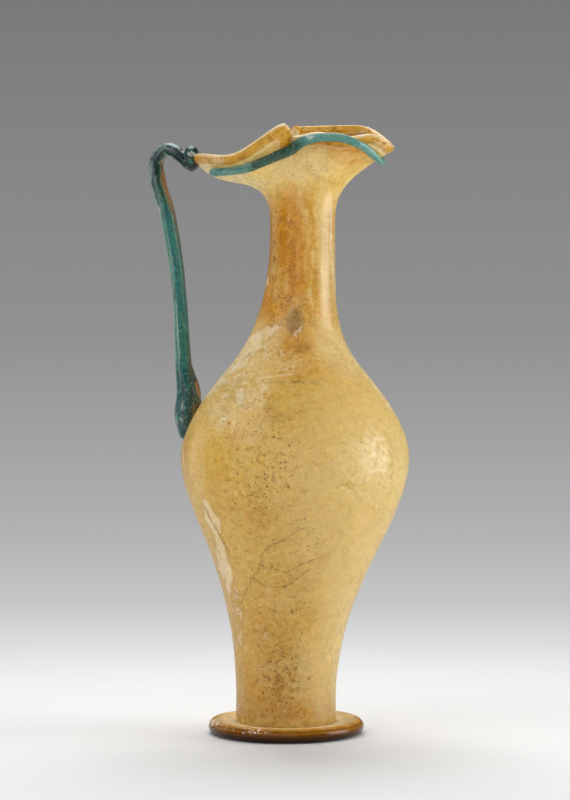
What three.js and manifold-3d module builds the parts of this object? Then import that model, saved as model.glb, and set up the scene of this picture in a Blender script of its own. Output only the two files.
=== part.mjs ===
// Glass jug with a pinched three-lobed mouth, a looped ribbed handle and a pad foot.
// Millimetres, +Z up. The spout points along +X and the handle stands on the -X side.
// The origin is the centre of the flat underside of the foot.

import * as THREE from 'three';
import { LoftGeometry } from 'three/addons/geometries/LoftGeometry.js';
import { mergeVertices } from 'three/addons/utils/BufferGeometryUtils.js';
import Module from 'manifold-3d';

const wasm = await Module();
wasm.setup();

// Clearance between pieces that seat on each other
const seatGap = 0.3;

// Foot: a poured pad with a thick rounded edge and a low collar round the body. The edge is
// rounded from the underside up and back inward, through footEdgeTurn degrees.
const footRadius = 31.3;
const footEdgeThickness = 5.8;
const footEdgeTurn = 216;
const footPadThickness = 4;
const footDishThickness = 3.7;
const footCollarHeight = 1.3;
const footCollarWidth = 3.4;

// Body outline: radius and height where it turns, and how far each curve runs straight on
const baseRadius = 20.4;
const baseRounding = 1.2;
const stemRadius = 19.8;
const stemHeight = 14.6;
const stemRun = 47.7;
const bellyRadius = 45.9;
const bellyHeight = 110.7;
const bellyRunDown = 23.3;
const bellyRunUp = 11.2;
const shoulderRadius = 27.1;
const shoulderHeight = 145.9;
const shoulderTaper = 0.91;
const shoulderRunDown = 12.9;
const shoulderRunUp = 18;
const neckRadius = 12.8;
const neckHeight = 206;
const neckRun = 32;
const wallThickness = 2;
const floorThickness = 3.5;
const floorRounding = 8;

// The hand-blown body leans toward the spout, first at the belly and again from the shoulder to
// neckLeanEnd below the neck's top
const bellyLean = 3.6;
const bellyLeanFrom = 20;
const bellyLeanTo = 92;
const neckLean = 6.8;
const neckLeanEnd = 10;

// Mouth: a wide flare pinched in from both sides. Stations run round the rim from the handle to
// the spout, with x and y from the neck's own axis and rise from the neck's top. The hand-pinched
// far side stands farLift higher and farShift nearer the spout. The wall rises wallRise from the
// neck, runs out to the share wallReach of the way, wallDrop below the rim, and turns up to it.
// The trail lies trailDrop below the rim and is trailWidth wide.
const mouthStations = [
  { name: 'handle end', x: -43.2, y: 0, rise: 25.3, farLift: 0, farShift: 0,
    wallRise: 24, wallReach: 0.95, wallDrop: 17, trailDrop: 8.8, trailWidth: 4 },
  { name: 'back shoulder', x: -37.2, y: 15, rise: 25.5, farLift: -3.3, farShift: 0,
    wallRise: 23, wallReach: 0.78, wallDrop: 14.5, trailDrop: 7.7, trailWidth: 4 },
  { name: 'back lobe', x: -22.2, y: 24.5, rise: 24.9, farLift: -2, farShift: -2,
    wallRise: 20, wallReach: 0.54, wallDrop: 10, trailDrop: 6.7, trailWidth: 4.2 },
  { name: 'lobe peak', x: -2.5, y: 22, rise: 37, farLift: 0.3, farShift: -6,
    wallRise: 18, wallReach: 0.42, wallDrop: 13, trailDrop: 11.8, trailWidth: 5 },
  { name: 'lobe fold', x: -1.5, y: 14.3, rise: 32.2, farLift: 4.8, farShift: -3,
    wallRise: 16, wallReach: 0.34, wallDrop: 9, trailDrop: 2.8, trailWidth: 4.6 },
  { name: 'pinch', x: 8.3, y: 12.5, rise: 34, farLift: 3.2, farShift: 0,
    wallRise: 16, wallReach: 0.32, wallDrop: 8, trailDrop: 1, trailWidth: 4 },
  { name: 'spout cheek', x: 22.8, y: 15.2, rise: 31.6, farLift: 5, farShift: 0,
    wallRise: 16, wallReach: 0.4, wallDrop: 8, trailDrop: 0.4, trailWidth: 3.8 },
  { name: 'spout corner', x: 31.5, y: 8.5, rise: 32.6, farLift: -0.5, farShift: 0,
    wallRise: 16.5, wallReach: 0.52, wallDrop: 8.5, trailDrop: 5.8, trailWidth: 3.6 },
  { name: 'spout tip', x: 36.8, y: 0, rise: 28.3, farLift: 0, farShift: 0,
    wallRise: 16.5, wallReach: 0.6, wallDrop: 8.3, trailDrop: 7.6, trailWidth: 3 },
];
const lipHeight = 4.2;
const lipThickness = 3.3;

// Trail: a thread of glass laid round the flare below the lip, from beside the handle on the near
// side round the spout to the far side. Both ends are measured along it from the handle's plane
// and rounded over trailEndLength. Where the far rim was lifted, the trail rose by part of that.
const trailHalfThickness = 1.25;
const trailEndLength = 1.7;
const trailNearEnd = 15;
const trailFarEnd = 30;
const trailFarShare = 0.5;
const trailTautPasses = 14;
const trailTautShare = 0.5;

// Handle: stations along its centre line in the plane of the spout, from the shoulder pad to
// the thumb-rest. Each lies ahead of and above a place between two others: the back of the belly
// at the shoulder's height, follow 0, and the rim's handle end at the neck's height, follow 1.
// It gives the strap's half width, half thickness and the height of its ribs.
const handleStations = [
  { name: 'pad tip', follow: 0, ahead: 1.3, rise: -26.4, halfWidth: 6, halfThickness: 2.6, rib: 0 },
  { name: 'pad', follow: 0, ahead: 1.5, rise: -18.9, halfWidth: 7.8, halfThickness: 4.6, rib: 0.2 },
  { name: 'pad top', follow: 0, ahead: 2.3, rise: -9.9, halfWidth: 6.2, halfThickness: 4.5, rib: 0.5 },
  { name: 'strap foot', follow: 0, ahead: 0.4, rise: 1.1, halfWidth: 4.3, halfThickness: 2.9, rib: 0.9 },
  { name: 'strap', follow: 0.33, ahead: -2.4, rise: -0.7, halfWidth: 3.8, halfThickness: 2.3, rib: 1 },
  { name: 'lean', follow: 0.67, ahead: -6.3, rise: -0.2, halfWidth: 3.8, halfThickness: 2.3, rib: 1 },
  { name: 'upper strap', follow: 1, ahead: -11.8, rise: 1, halfWidth: 4.1, halfThickness: 2.6, rib: 1 },
  { name: 'loop rise', follow: 1, ahead: -15.8, rise: 15, halfWidth: 4.2, halfThickness: 2.6, rib: 1 },
  { name: 'loop back', follow: 1, ahead: -16.6, rise: 23, halfWidth: 4, halfThickness: 2.4, rib: 0.9 },
  { name: 'loop top', follow: 1, ahead: -12.6, rise: 27.2, halfWidth: 3.9, halfThickness: 2.4, rib: 0.8 },
  { name: 'loop shoulder', follow: 1, ahead: -8.6, rise: 25.8, halfWidth: 4, halfThickness: 2.3, rib: 0.7 },
  { name: 'loop end', follow: 1, ahead: -3.6, rise: 21.6, halfWidth: 4.3, halfThickness: 2.4, rib: 0.2 },
];

// Ribs run side by side over the strap's outer face and round its edges, ribSpan degrees each
// way from the middle. Its plain inner side is squarer than an ellipse.
const ribCount = 5;
const ribSpan = 110;
const strapSquareness = 0.8;

// Thumb-rest: the end of the strap folded up against the rim. Its centre lies restAhead of the
// strap's last station and restAbove it.
const restRadiusAlong = 3.4;
const restRadiusAcross = 4.5;
const restRadiusUp = 5.3;
const restAhead = 1.1;
const restAbove = 2.3;

// How finely the surfaces are divided
const ringPoints = 64;
const stemRings = 10;
const bellyRings = 6;
const neckRings = 7;
const flareRings = 7;
const beadRings = 4;
const innerRingShare = 0.5;
const floorRings = 3;
const trailSteps = 72;
const trailSides = 8;
const sidesPerRib = 5;
const plainSides = 8;
const stepsPerStation = 3;
const restSegments = 20;
const restRings = 12;
const domeSteps = 3;
const domeFlat = 0.3;
const footSegments = 48;
const footEdgeSteps = 9;
const weldTolerance = 0.001;

// A meshed solid from a geometry, and a geometry from a meshed solid
function toSolid(geometry) {
  const bare = new THREE.BufferGeometry();
  bare.setAttribute('position', geometry.getAttribute('position'));
  bare.setIndex(geometry.getIndex());
  const merged = mergeVertices(bare, weldTolerance);
  const index = merged.getIndex().array;
  const kept = [];
  for (let corner = 0; corner < index.length; corner += 3) {
    const [a, b, c] = index.slice(corner, corner + 3);
    if (a !== b && b !== c && c !== a) {
      kept.push(a, b, c);
    }
  }
  const vertProperties = new Float32Array(merged.getAttribute('position').array);
  const triVerts = new Uint32Array(kept);
  return new wasm.Manifold(new wasm.Mesh({ numProp: 3, vertProperties, triVerts }));
}

function toGeometry(solid) {
  const { vertProperties, triVerts } = solid.getMesh();
  const geometry = new THREE.BufferGeometry();
  geometry.setAttribute('position', new THREE.BufferAttribute(vertProperties, 3));
  geometry.setIndex(new THREE.BufferAttribute(triVerts, 1));
  geometry.computeVertexNormals();
  return geometry;
}

// The axis's distance from the foot's centre at a height
function leanAt(height) {
  const low = bellyLean * THREE.MathUtils.smoothstep(height, bellyLeanFrom, bellyLeanTo);
  const upper = THREE.MathUtils.smoothstep(height, shoulderHeight, neckHeight - neckLeanEnd);
  return low + (neckLean - bellyLean) * upper;
}

// Ring points run counter-clockwise seen from above, starting behind the handle
function ringAngle(step) {
  return Math.PI + (2 * Math.PI * step) / ringPoints;
}

function bodyRing(radius, height) {
  const ring = [];
  for (let step = 0; step < ringPoints; step += 1) {
    const angle = ringAngle(step);
    const x = leanAt(height) + radius * Math.cos(angle);
    ring.push(new THREE.Vector3(x, radius * Math.sin(angle), height));
  }
  return ring;
}

// Outline of the body from the stem to the neck, as radius and height
function outlineCurves() {
  const shoulder = new THREE.Vector2(shoulderRadius, shoulderHeight);
  const slope = new THREE.Vector2(-shoulderTaper, 1).normalize();
  const stemCurve = new THREE.CubicBezierCurve(
    new THREE.Vector2(stemRadius, stemHeight),
    new THREE.Vector2(stemRadius, stemHeight + stemRun),
    new THREE.Vector2(bellyRadius, bellyHeight - bellyRunDown),
    new THREE.Vector2(bellyRadius, bellyHeight),
  );
  const bellyCurve = new THREE.CubicBezierCurve(
    new THREE.Vector2(bellyRadius, bellyHeight),
    new THREE.Vector2(bellyRadius, bellyHeight + bellyRunUp),
    shoulder.clone().addScaledVector(slope, -shoulderRunDown),
    shoulder,
  );
  const neckCurve = new THREE.CubicBezierCurve(
    shoulder,
    shoulder.clone().addScaledVector(slope, shoulderRunUp),
    new THREE.Vector2(neckRadius, neckHeight - neckRun),
    new THREE.Vector2(neckRadius, neckHeight),
  );
  return [
    { curve: stemCurve, rings: stemRings },
    { curve: bellyCurve, rings: bellyRings },
    { curve: neckCurve, rings: neckRings },
  ];
}

// Rings up one skin of the body, moved inward from the outline by a depth
function skinRings(depth, ringShare) {
  const rings = [];
  for (const { curve, rings: count } of outlineCurves()) {
    const steps = Math.round(count * ringShare);
    for (let step = 0; step < steps; step += 1) {
      const along = step / steps;
      const point = curve.getPoint(along);
      const tangent = curve.getTangent(along);
      rings.push(bodyRing(point.x - depth * tangent.y, point.y + depth * tangent.x));
    }
  }
  return rings;
}

// A closed curve through a value of every station: the near side, then the far side backwards
function stationCurve(valueAt, type) {
  const last = mouthStations.length - 1;
  const near = mouthStations.map((station) => valueAt(station, -1));
  const far = mouthStations.slice(1, last).map((station) => valueAt(station, 1));
  return new THREE.CatmullRomCurve3([...near, ...far.reverse()], true, type);
}

// The crest of the lip, the shape of the wall below it, and the trail's drop and half width, all
// round the mouth
const rim = stationCurve(({ x, y, rise, farLift, farShift }, side) => {
  const far = side > 0 ? 1 : 0;
  const height = neckHeight + rise + far * farLift;
  return new THREE.Vector3(x + neckLean + far * farShift, y * side, height);
}, 'centripetal');
const wallShape = stationCurve(({ wallRise, wallReach, wallDrop }) => (
  new THREE.Vector3(wallRise, wallReach, wallDrop)), 'catmullrom');
const trailPlace = stationCurve(({ trailDrop, trailWidth, farLift }, side) => {
  const behind = side > 0 ? Math.max(0, farLift) * (1 - trailFarShare) : 0;
  return new THREE.Vector3(trailDrop + behind, trailWidth / 2, 0);
}, 'catmullrom');

// One curve up the middle of the flare's wall, from the neck to a point on the rim
function flareCurve(angle, turn) {
  const neckMiddle = neckRadius - wallThickness / 2;
  const x = neckLean + neckMiddle * Math.cos(angle);
  const y = neckMiddle * Math.sin(angle);
  const [wallRise, wallReach, wallDrop] = wallShape.getPoint(turn).toArray();
  const start = new THREE.Vector3(x, y, neckHeight);
  const rise = new THREE.Vector3(x, y, neckHeight + wallRise);
  const end = rim.getPoint(turn);
  const reach = start.clone().lerp(end, wallReach).setZ(end.z - wallDrop);
  return new THREE.CubicBezierCurve3(start, rise, reach, end);
}

const flare = [];
for (let step = 0; step < ringPoints; step += 1) {
  const turn = step / ringPoints;
  const curve = flareCurve(ringAngle(step), turn);
  flare.push({ turn, curve, length: curve.getLength() });
}

// The middle surface of the flare at a drop below the rim, with its outward normal
function flareRow(dropAt) {
  const count = ringPoints;
  const row = [];
  for (const { turn, curve, length } of flare) {
    const drop = dropAt(turn, length);
    const along = THREE.MathUtils.clamp(1 - drop / length, 0, 1);
    const up = curve.getTangentAt(along);
    const point = curve.getPointAt(along).addScaledVector(up, Math.max(0, -drop));
    row.push({ point, up });
  }
  for (let step = 0; step < count; step += 1) {
    const next = row[(step + 1) % count].point;
    const last = row[(step + count - 1) % count].point;
    const round = next.clone().sub(last).normalize();
    row[step].normal = round.cross(row[step].up).normalize();
  }
  return row;
}

function offsetRow(row, offset) {
  return row.map(({ point, normal }) => point.clone().addScaledVector(normal, offset));
}

// Rows of the flare from the neck up to the bead of the lip: their drop and half thickness
function flareRows(grow) {
  const half = wallThickness / 2;
  const beadHalf = lipThickness / 2 + grow;
  const beadRise = lipHeight / 2 + grow;
  const beadEnd = Math.PI - Math.asin((half + grow) / beadHalf);
  const beadDrop = lipHeight / 2 - beadRise * Math.cos(beadEnd);
  const rows = [];
  for (let step = 0; step < flareRings; step += 1) {
    const share = 1 - step / flareRings;
    const dropAt = (turn, length) => beadDrop + share * (length - beadDrop);
    rows.push({ row: flareRow(dropAt), half: half + grow });
  }
  for (let step = 0; step < beadRings; step += 1) {
    const angle = beadEnd * (1 - step / beadRings);
    const drop = lipHeight / 2 - beadRise * Math.cos(angle);
    rows.push({ row: flareRow(() => drop), half: beadHalf * Math.sin(angle) });
  }
  return rows;
}

// Body: up the outside, over the lip and down the inside. Grown by a gap and stopped at the
// bottom of the flare, the same rings make the solid that the handle is cut with.
function bodyGeometry(grow, open) {
  const rows = flareRows(grow);
  const base = footPadThickness + seatGap;
  const rings = [
    bodyRing(baseRadius - baseRounding, base),
    bodyRing(baseRadius + grow, base + baseRounding),
    ...skinRings(-grow, 1),
    ...rows.map(({ row, half }) => offsetRow(row, half)),
    offsetRow(flareRow(() => -grow), 0),
    ...rows.reverse().map(({ row, half }) => offsetRow(row, -half)),
  ];
  if (open) {
    rings.push(...skinRings(wallThickness, innerRingShare).reverse());
    rings.push(...floorRingsDown(base + floorThickness));
  } else {
    rings.push(bodyRing(0, neckHeight));
  }
  return new LoftGeometry(rings, { closed: true, capStart: true });
}

// The rounded inside of the floor
function floorRingsDown(floorHeight) {
  const rings = [];
  const radius = stemRadius - wallThickness;
  for (let step = 1; step <= floorRings; step += 1) {
    const angle = (Math.PI / 2) * (step / floorRings);
    const inward = floorRounding * (1 - Math.cos(angle));
    const height = floorHeight + floorRounding * (1 - Math.sin(angle));
    rings.push(bodyRing(radius - inward, height));
  }
  rings.push(bodyRing(0, floorHeight));
  return rings;
}

// Foot pad, turned round the origin
function footGeometry() {
  const edge = footEdgeThickness / 2;
  const edgeCentre = footRadius - edge;
  const seatRadius = baseRadius + seatGap;
  const profile = [new THREE.Vector2(0, 0)];
  for (let step = 0; step <= footEdgeSteps; step += 1) {
    const angle = THREE.MathUtils.degToRad((footEdgeTurn * step) / footEdgeSteps - 90);
    const x = edgeCentre + edge * Math.cos(angle);
    profile.push(new THREE.Vector2(x, edge + edge * Math.sin(angle)));
  }
  profile.push(new THREE.Vector2(seatRadius + footCollarWidth, footDishThickness));
  profile.push(new THREE.Vector2(seatRadius, footPadThickness + footCollarHeight));
  profile.push(new THREE.Vector2(seatRadius, footPadThickness));
  profile.push(new THREE.Vector2(0, footPadThickness));
  const geometry = new THREE.LatheGeometry(profile, footSegments);
  geometry.rotateX(Math.PI / 2);
  return geometry;
}

// Sections that round off a free end: how far each lies beyond it and its scale, as shares
function domeStops() {
  const stops = [];
  for (let step = 1; step <= domeSteps; step += 1) {
    const angle = (Math.PI / 2) * (step / (domeSteps + domeFlat));
    stops.push({ beyond: Math.sin(angle), scale: Math.cos(angle) });
  }
  return stops;
}

// The trail's distance from the middle of the wall, so that it clears the wall and the bead
function trailOffset(drop) {
  const reach = seatGap + trailHalfThickness;
  const beside = (drop - lipHeight / 2) / (lipHeight / 2 + reach);
  const overBead = (lipThickness / 2 + reach) * Math.sqrt(Math.max(0, 1 - beside ** 2));
  return Math.max(wallThickness / 2 + reach, overBead);
}

// The trail was laid on taut, so it bridges the sharpest hollow of the wall. Each pass moves a
// point by trailTautShare of the way to the middle of its neighbours.
function pullTaut(points, normals) {
  const count = points.length;
  for (let pass = 0; pass < trailTautPasses; pass += 1) {
    for (let step = 0; step < count; step += 1) {
      const next = points[(step + 1) % count];
      const last = points[(step + count - 1) % count];
      const pull = next.clone().lerp(last, 0.5).sub(points[step]);
      if (pull.dot(normals[step]) > 0) {
        points[step].addScaledVector(pull, trailTautShare);
        normals[step].add(normals[(step + 1) % count]);
        normals[step].add(normals[(step + count - 1) % count]);
        normals[step].normalize();
      }
    }
  }
}

// Places along the trail, as distances from the handle's plane, with both ends rounded
function trailStops(loopLength) {
  const first = trailNearEnd;
  const last = loopLength - trailFarEnd;
  const stops = [];
  for (const { beyond, scale } of domeStops().reverse()) {
    stops.push({ distance: first + (1 - beyond) * trailEndLength, scale });
  }
  for (let step = 0; step <= trailSteps; step += 1) {
    const along = step / trailSteps;
    const distance = THREE.MathUtils.lerp(first + trailEndLength, last - trailEndLength, along);
    stops.push({ distance, scale: 1 });
  }
  for (const { beyond, scale } of domeStops()) {
    stops.push({ distance: last - (1 - beyond) * trailEndLength, scale });
  }
  return stops;
}

function trailGeometry() {
  const dropAt = (turn) => trailPlace.getPoint(turn).x;
  const row = flareRow(dropAt);
  const normals = row.map(({ normal }) => normal);
  const points = row.map(({ point, normal }, step) => (
    point.clone().addScaledVector(normal, trailOffset(dropAt(step / ringPoints)))));
  pullTaut(points, normals);
  const line = new THREE.CatmullRomCurve3(points, true);
  const beyond = points.map((point, step) => point.clone().add(normals[step]));
  const outer = new THREE.CatmullRomCurve3(beyond, true);
  const loopLength = line.getLength();
  const sections = trailStops(loopLength).map(({ distance, scale }) => {
    const turn = line.getUtoTmapping(distance / loopLength);
    const centre = line.getPoint(turn);
    const tangent = line.getTangent(turn);
    const away = outer.getPoint(turn).sub(centre);
    const normal = away.addScaledVector(tangent, -away.dot(tangent)).normalize();
    const side = tangent.clone().cross(normal);
    const halfWidth = trailPlace.getPoint(turn).y;
    return loopOf(trailSides, (angle) => centre.clone()
      .addScaledVector(normal, trailHalfThickness * scale * Math.cos(angle))
      .addScaledVector(side, halfWidth * scale * Math.sin(angle)));
  });
  return new LoftGeometry(sections, { closed: true, capStart: true, capEnd: true });
}

function loopOf(count, pointAt) {
  const loop = [];
  for (let step = 0; step < count; step += 1) {
    loop.push(pointAt((2 * Math.PI * step) / count));
  }
  return loop;
}

// Angles round the strap from the middle of its outer face, close together over the ribs
function strapAngles() {
  const span = THREE.MathUtils.degToRad(ribSpan);
  const ribSides = ribCount * sidesPerRib;
  const angles = [];
  for (let step = 0; step < ribSides; step += 1) {
    angles.push(THREE.MathUtils.lerp(-span, span, step / ribSides));
  }
  for (let step = 0; step < plainSides; step += 1) {
    angles.push(THREE.MathUtils.lerp(span, 2 * Math.PI - span, step / plainSides));
  }
  return angles;
}

// Height of the ribs at an angle round the strap, from 0 in a valley to 1 on a crest
function ribShare(angle) {
  const across = THREE.MathUtils.radToDeg(angle) / ribSpan;
  if (Math.abs(across) > 1) {
    return 0;
  }
  return 0.5 - 0.5 * Math.cos(Math.PI * ribCount * (across + 1));
}

function strapSection(centre, tangent, size) {
  const [halfWidth, halfThickness, rib] = size.toArray();
  const outward = new THREE.Vector3(-tangent.z, 0, tangent.x);
  const across = tangent.clone().cross(outward);
  return strapAngles().map((angle) => {
    const crest = rib * ribShare(angle);
    const rise = Math.cos(angle);
    const thickness = halfThickness * Math.sign(rise) * Math.abs(rise) ** strapSquareness;
    return centre.clone()
      .addScaledVector(outward, thickness + crest * rise)
      .addScaledVector(across, (halfWidth + crest) * Math.sin(angle));
  });
}

function strapPlace({ follow, ahead, rise }) {
  const low = new THREE.Vector3(leanAt(bellyHeight) - bellyRadius, 0, shoulderHeight);
  const high = new THREE.Vector3(mouthStations[0].x + neckLean, 0, neckHeight);
  return low.lerp(high, follow).add(new THREE.Vector3(ahead, 0, rise));
}

function handleGeometry() {
  const curveOf = (pointAt) => (
    new THREE.CatmullRomCurve3(handleStations.map(pointAt), false, 'centripetal'));
  const path = curveOf(strapPlace);
  const sizes = curveOf(({ halfWidth, halfThickness, rib }) => (
    new THREE.Vector3(halfWidth, halfThickness, rib)));
  const steps = (handleStations.length - 1) * stepsPerStation;
  const sections = [];
  for (let step = 0; step <= steps; step += 1) {
    const along = step / steps;
    sections.push(strapSection(path.getPoint(along), path.getTangent(along), sizes.getPoint(along)));
  }
  sections.unshift(...endDome(path, sizes, 0).reverse());
  sections.push(...endDome(path, sizes, 1));
  return new LoftGeometry(sections, { closed: true, capStart: true, capEnd: true });
}

// The rounded end of the strap, beyond its first or last station
function endDome(path, sizes, end) {
  const tangent = path.getTangent(end);
  const size = sizes.getPoint(end);
  const away = end === 1 ? size.y : -size.y;
  return domeStops().map(({ beyond, scale }) => {
    const centre = path.getPoint(end).addScaledVector(tangent, away * beyond);
    return strapSection(centre, tangent, size.clone().multiplyScalar(scale));
  });
}

function restGeometry() {
  const geometry = new THREE.SphereGeometry(1, restSegments, restRings);
  geometry.scale(restRadiusAlong, restRadiusUp, restRadiusAcross);
  geometry.rotateX(Math.PI / 2);
  const loopEnd = strapPlace(handleStations[handleStations.length - 1]);
  geometry.translate(loopEnd.x + restAhead, 0, loopEnd.z + restAbove);
  return geometry;
}

// The handle's pad and thumb-rest end where the grown body begins
function seatedHandle() {
  const bar = toSolid(handleGeometry()).add(toSolid(restGeometry()));
  const body = toSolid(bodyGeometry(seatGap, false));
  return toGeometry(bar.subtract(body));
}

function glass(color, roughness) {
  return new THREE.MeshStandardMaterial({ color, roughness, metalness: 0 });
}

const amber = glass(0xc79a4e, 0.3);
const brown = glass(0x6b4514, 0.25);
const teal = glass(0x14604f, 0.3);
const paleTeal = glass(0x4a8573, 0.4);

const pieces = [
  ['vessel_body', bodyGeometry(0, true), amber],
  ['foot_pad', footGeometry(), brown],
  ['rim_trail', trailGeometry(), paleTeal],
  ['handle', seatedHandle(), teal],
];

const jug = new THREE.Group();
for (const [name, geometry, material] of pieces) {
  const mesh = new THREE.Mesh(geometry, material);
  mesh.name = name;
  jug.add(mesh);
}

export default jug;
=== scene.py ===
# A glass jug with a pinched mouth, a looped handle and a pad foot, weathered by burial.
# Metres, +Z up. The spout points along +X and the handle stands on the -X side.

import math
import bpy
import numpy as np
from types import SimpleNamespace
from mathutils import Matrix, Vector, noise
from mathutils.bvhtree import BVHTree


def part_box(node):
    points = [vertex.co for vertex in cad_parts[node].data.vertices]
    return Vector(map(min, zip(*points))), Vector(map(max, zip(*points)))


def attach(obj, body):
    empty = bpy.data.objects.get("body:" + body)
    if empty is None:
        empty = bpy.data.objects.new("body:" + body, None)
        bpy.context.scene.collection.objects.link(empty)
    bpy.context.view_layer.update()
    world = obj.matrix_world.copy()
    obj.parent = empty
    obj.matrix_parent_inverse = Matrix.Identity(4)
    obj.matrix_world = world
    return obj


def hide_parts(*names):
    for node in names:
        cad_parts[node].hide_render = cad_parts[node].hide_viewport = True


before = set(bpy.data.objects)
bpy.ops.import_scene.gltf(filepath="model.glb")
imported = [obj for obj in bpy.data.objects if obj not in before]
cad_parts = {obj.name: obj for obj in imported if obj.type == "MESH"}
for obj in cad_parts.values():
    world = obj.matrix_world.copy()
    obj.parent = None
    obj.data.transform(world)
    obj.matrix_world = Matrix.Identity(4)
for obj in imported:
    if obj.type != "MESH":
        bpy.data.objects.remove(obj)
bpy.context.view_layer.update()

# The photograph's view: the camera's turn about the jug, its tip down, its place and its lens
VIEW_TURN = math.radians(13)
VIEW_TIP = math.radians(2.884)
CAMERA_PLACE = Vector((0.2785, -1.2083, 0.196))
CAMERA_LENS = 93.33
SENSOR_TALL = 24
PHOTO_WIDE = 570
PHOTO_TALL = 800
PIXELS_PER_SLOPE = CAMERA_LENS / SENSOR_TALL * PHOTO_TALL

# Directions of the view: rightward and away on the level, and the lens's own sight and up
UP = Vector((0, 0, 1))
RIGHTWARD = Vector((math.cos(VIEW_TURN), math.sin(VIEW_TURN), 0))
AWAY = Vector((-math.sin(VIEW_TURN), math.cos(VIEW_TURN), 0))
SIGHT = AWAY * math.cos(VIEW_TIP) - UP * math.sin(VIEW_TIP)
SIGHT_UP = AWAY * math.sin(VIEW_TIP) + UP * math.cos(VIEW_TIP)

# The body's weathered skin: how much glass it hides outside and inside, and the light it lets through
COVER = 0.8
COVER_SWING = 0.07
INNER_COVER = 0.15
LIT_THROUGH = 0.45

# How pieces are welded, and pressed into the body where they touch it
WELD = 0.00001
SEAT_REACH = 0.0024
SEAT_SINK = 0.00048
TRAIL_SINK = 0.0007
SEAT_EASE = 1.4

# Painted marks: how far out they fade, where the near side ends, and how strong the far side's are
MARK_FADE = 1.5
NEAR_SIDE = 0.01
NEAR_SIDE_SMALL = 0.03
FAR_SHARE = 0.8

# Drawn lines, in the photograph's pixels: how wide they are kept, and how softly sides and ends fade
LINE_REACH = 3.2
LINE_SIDE_FADE = 1.5
LINE_END_FADE = 2


def tone(red, green, blue):
    """A colour written as it shows on a screen, 0 to 255, as the shaders take it."""
    def straight(level):
        level = level / 255
        return level / 12.92 if level <= 0.04045 else ((level + 0.055) / 1.055) ** 2.4
    return (straight(red), straight(green), straight(blue), 1)


def grey(level):
    return tone(level, level, level)


# Shader maths

class Signal:
    """A shader socket that plain arithmetic can be written on."""

    def __init__(self, finish, socket):
        self.finish = finish
        self.socket = socket

    def __add__(self, other):
        return self.finish.sum("ADD", self, other)

    def __radd__(self, other):
        return self.finish.sum("ADD", other, self)

    def __sub__(self, other):
        return self.finish.sum("SUBTRACT", self, other)

    def __rsub__(self, other):
        return self.finish.sum("SUBTRACT", other, self)

    def __mul__(self, other):
        return self.finish.sum("MULTIPLY", self, other)

    def __rmul__(self, other):
        return self.finish.sum("MULTIPLY", other, self)

    def __abs__(self):
        return self.finish.sum("ABSOLUTE", self, 0)


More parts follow.
